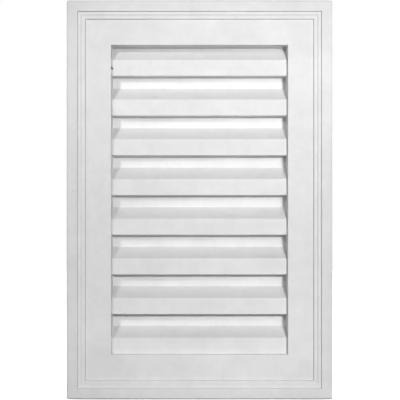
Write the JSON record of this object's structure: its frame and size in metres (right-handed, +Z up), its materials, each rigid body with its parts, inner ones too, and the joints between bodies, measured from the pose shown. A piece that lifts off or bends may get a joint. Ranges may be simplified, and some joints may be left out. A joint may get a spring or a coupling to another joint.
{
  "type": "gable vent",
  "caption": "Rectangular moulded gable vent with a stepped trim frame and closed, fixed sloping louvres; it is fixed flat against a wall.",
  "frame": {"origin": "centre of the flat back face that lies against the wall", "axes": "+Z up the wall, +X to the right seen from the front, +Y into the wall; the louvres face -Y"},
  "size_m": [0.3048, 0.0413, 0.4572],
  "materials": {
    "primed_urethane": "matte white primer on moulded urethane foam"
  },
  "bodies": {
    "root": {"gable_vent": "primed_urethane"}
  },
  "joints": []
}
